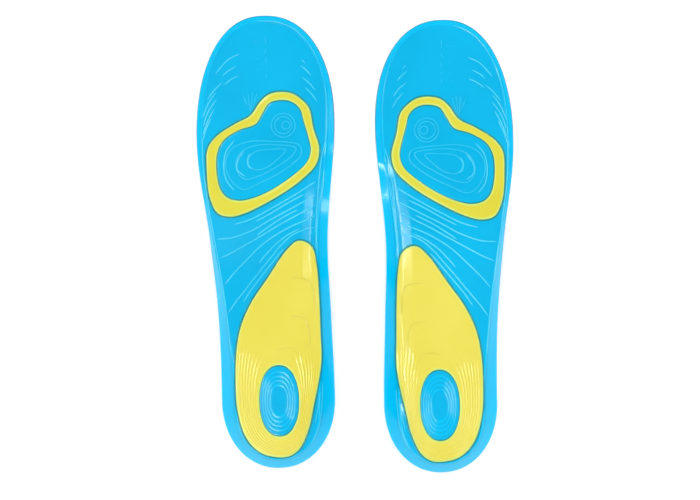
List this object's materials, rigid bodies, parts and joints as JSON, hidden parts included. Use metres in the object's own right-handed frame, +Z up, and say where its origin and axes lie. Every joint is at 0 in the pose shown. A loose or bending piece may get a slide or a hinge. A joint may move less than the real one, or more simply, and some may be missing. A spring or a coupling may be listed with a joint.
{
  "type": "pair of cushioned gel insoles",
  "caption": "Pair of full-length massaging gel insoles, gel side up: cupped heel, soft ring inlay at the ball, soft pad inlay from arch to heel, fabric top cover.",
  "frame": {"origin": "middle of the pair's footprint, on the surface that the insoles lie on", "axes": "+Y from the heels to the toes, +Z up out of the gel side, +X from the right foot's insole to the left foot's"},
  "size_m": [0.2064, 0.2978, 0.0166],
  "materials": {
    "body_gel": "glossy moulded gel, bright blue",
    "inlay_gel": "glossy moulded gel, yellow",
    "cover_fabric": "brushed knit, blue-grey"
  },
  "bodies": {
    "root": {"right_gel_body": "body_gel", "right_forefoot_ring": "inlay_gel", "right_heel_pad": "inlay_gel", "right_top_cover": "cover_fabric", "left_gel_body": "body_gel", "left_forefoot_ring": "inlay_gel", "left_heel_pad": "inlay_gel", "left_top_cover": "cover_fabric"}
  },
  "joints": []
}
